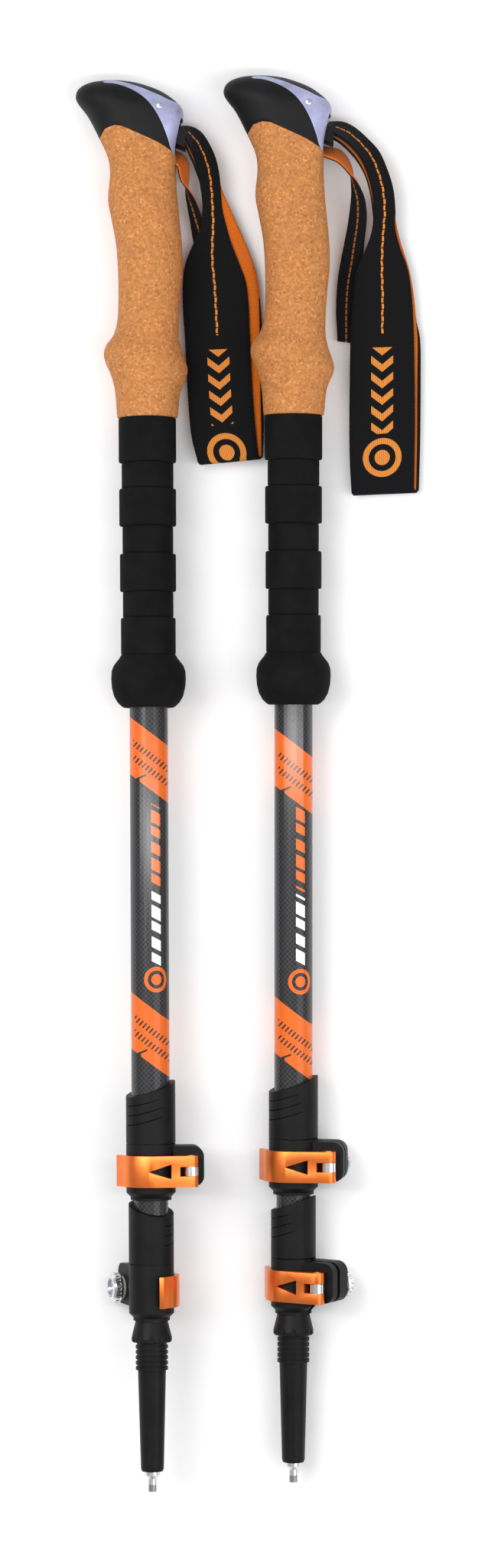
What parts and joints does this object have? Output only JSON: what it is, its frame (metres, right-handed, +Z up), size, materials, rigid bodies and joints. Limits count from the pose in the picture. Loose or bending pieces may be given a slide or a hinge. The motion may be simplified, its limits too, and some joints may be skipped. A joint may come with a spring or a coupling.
{
  "type": "trekking pole pair",
  "caption": "Pair of collapsed three-section trekking poles with cork grips, wrist straps and lever clamps, lying side by side.",
  "frame": {"origin": "on the ground below the middle of the pair's box, as it lies", "axes": "+Y along the poles towards the grips, +X towards the right pole and the straps' side, +Z up"},
  "size_m": [0.1634, 0.6646, 0.042],
  "materials": {
    "lilac_plastic": "satin",
    "black_rubber": "matte",
    "black_plastic": "satin",
    "bright_steel": "polished",
    "carbide": "satin",
    "cork": "open-grained cork",
    "eva_foam": "closed-cell foam, matte",
    "carbon": "carbon weave under clear lacquer",
    "orange_anodised": "satin anodised",
    "clear_plastic": "translucent",
    "webbing": "woven"
  },
  "bodies": {
    "left_pole": {"left_grip_core": "lilac_plastic", "left_head_cover": "black_rubber", "left_strap_pin": "bright_steel", "left_cork_grip": "cork", "left_foam_grip": "eva_foam", "left_upper_tube": "carbon", "left_upper_clamp_collar": "black_plastic", "left_upper_clamp_bushing": "black_plastic", "left_upper_clamp_screw": "bright_steel", "left_upper_clamp_washer": "clear_plastic"},
    "left_strap": {"left_wrist_strap": "webbing"},
    "left_wedge": {"left_strap_wedge": "black_plastic"},
    "left_upper_lever": {"left_upper_clamp_lever": "orange_anodised", "left_upper_clamp_lever_pin": "bright_steel"},
    "left_upper_nut": {"left_upper_clamp_thumb_nut": "bright_steel"},
    "left_middle": {"left_middle_tube": "carbon", "left_middle_tube_plug": "black_plastic", "left_lower_clamp_collar": "black_plastic", "left_lower_clamp_bushing": "black_plastic", "left_lower_clamp_screw": "bright_steel", "left_lower_clamp_washer": "clear_plastic"},
    "left_lower_lever": {"left_lower_clamp_lever": "orange_anodised", "left_lower_clamp_lever_pin": "bright_steel"},
    "left_lower_nut": {"left_lower_clamp_thumb_nut": "bright_steel"},
    "left_lower": {"left_lower_tube": "carbon", "left_lower_tube_plug": "black_plastic", "left_tip_ferrule": "black_plastic", "left_tip_holder": "bright_steel", "left_carbide_tip": "carbide"},
    "right_pole": {"right_grip_core": "lilac_plastic", "right_head_cover": "black_rubber", "right_strap_pin": "bright_steel", "right_cork_grip": "cork", "right_foam_grip": "eva_foam", "right_upper_tube": "carbon", "right_upper_clamp_collar": "black_plastic", "right_upper_clamp_bushing": "black_plastic", "right_upper_clamp_screw": "bright_steel", "right_upper_clamp_washer": "clear_plastic"},
    "right_strap": {"right_wrist_strap": "webbing"},
    "right_wedge": {"right_strap_wedge": "black_plastic"},
    "right_upper_lever": {"right_upper_clamp_lever": "orange_anodised", "right_upper_clamp_lever_pin": "bright_steel"},
    "right_upper_nut": {"right_upper_clamp_thumb_nut": "bright_steel"},
    "right_middle": {"right_middle_tube": "carbon", "right_middle_tube_plug": "black_plastic", "right_lower_clamp_collar": "black_plastic", "right_lower_clamp_bushing": "black_plastic", "right_lower_clamp_screw": "bright_steel", "right_lower_clamp_washer": "clear_plastic"},
    "right_lower_lever": {"right_lower_clamp_lever": "orange_anodised", "right_lower_clamp_lever_pin": "bright_steel"},
    "right_lower_nut": {"right_lower_clamp_thumb_nut": "bright_steel"},
    "right_lower": {"right_lower_tube": "carbon", "right_lower_tube_plug": "black_plastic", "right_tip_ferrule": "black_plastic", "right_tip_holder": "bright_steel", "right_carbide_tip": "carbide"}
  },
  "joints": [
    {"name": "left_strap_lift", "type": "hinge", "parent": "left_pole", "child": "left_strap", "pos_m": [-0.02908, 0.30524, 0.01789], "axis": [-1, -0.0054, 0], "range_deg": [0, 100], "deforming": ["left_wrist_strap"]},
    {"name": "left_wedge_slide", "type": "slide", "parent": "left_pole", "child": "left_wedge", "axis": [1, 0.0054, 0], "range_m": [0, 0.003], "deforming": ["left_wrist_strap"]},
    {"name": "left_upper_lever_turn", "type": "hinge", "parent": "left_pole", "child": "left_upper_lever", "pos_m": [-0.02692, -0.18172, 0.03517], "axis": [-0.0054, 0.9998, -0.0185], "range_deg": [0, 130]},
    {"name": "left_upper_nut_turn", "type": "hinge", "parent": "left_pole", "child": "left_upper_nut", "pos_m": [-0.02842, -0.18213, 0.01363], "axis": [-0.0697, -0.0188, -0.9974], "continuous": true},
    {"name": "left_lower_lever_turn", "type": "hinge", "parent": "left_middle", "child": "left_lower_lever", "pos_m": [-0.0429, -0.23863, 0.00735], "axis": [-0.0054, 0.9998, -0.0185], "range_deg": [0, 130]},
    {"name": "left_lower_nut_turn", "type": "hinge", "parent": "left_middle", "child": "left_lower_nut", "pos_m": [-0.0632, -0.23861, 0.01474], "axis": [-0.9397, 0.0012, 0.342], "continuous": true},
    {"name": "left_middle_slide", "type": "slide", "parent": "left_pole", "child": "left_middle", "axis": [0.0054, -0.9998, 0.0185], "range_m": [0, 0.34]},
    {"name": "left_lower_slide", "type": "slide", "parent": "left_middle", "child": "left_lower", "axis": [0.0054, -0.9998, 0.0185], "range_m": [0, 0.34]},
    {"name": "right_pole_lift", "type": "slide", "parent": "left_pole", "child": "right_pole", "axis": [0, 0, 1], "range_m": [0, 0.25]},
    {"name": "right_strap_lift", "type": "hinge", "parent": "right_pole", "child": "right_strap", "pos_m": [0.04057, 0.30669, 0.02132], "axis": [-1, 0, 0], "range_deg": [0, 100], "deforming": ["right_wrist_strap"]},
    {"name": "right_wedge_slide", "type": "slide", "parent": "right_pole", "child": "right_wedge", "axis": [1, 0, 0], "range_m": [0, 0.003], "deforming": ["right_wrist_strap"]},
    {"name": "right_upper_lever_turn", "type": "hinge", "parent": "right_pole", "child": "right_upper_lever", "pos_m": [0.03753, -0.18064, 0.02706], "axis": [0, 0.9999, 0.0142], "range_deg": [0, 130]},
    {"name": "right_upper_nut_turn", "type": "hinge", "parent": "right_pole", "child": "right_upper_nut", "pos_m": [0.04128, -0.18034, 0.00579], "axis": [0.1736, 0.014, -0.9847], "continuous": true},
    {"name": "right_lower_lever_turn", "type": "hinge", "parent": "right_middle", "child": "right_lower_lever", "pos_m": [0.0319, -0.23701, 0.03131], "axis": [0, 0.9999, 0.0142], "range_deg": [0, 130]},
    {"name": "right_lower_nut_turn", "type": "hinge", "parent": "right_middle", "child": "right_lower_nut", "pos_m": [0.04303, -0.23675, 0.0128], "axis": [0.515, 0.0122, -0.8571], "continuous": true},
    {"name": "right_middle_slide", "type": "slide", "parent": "right_pole", "child": "right_middle", "axis": [0, -0.9999, -0.0142], "range_m": [0, 0.34]},
    {"name": "right_lower_slide", "type": "slide", "parent": "right_middle", "child": "right_lower", "axis": [0, -0.9999, -0.0142], "range_m": [0, 0.34]}
  ]
}
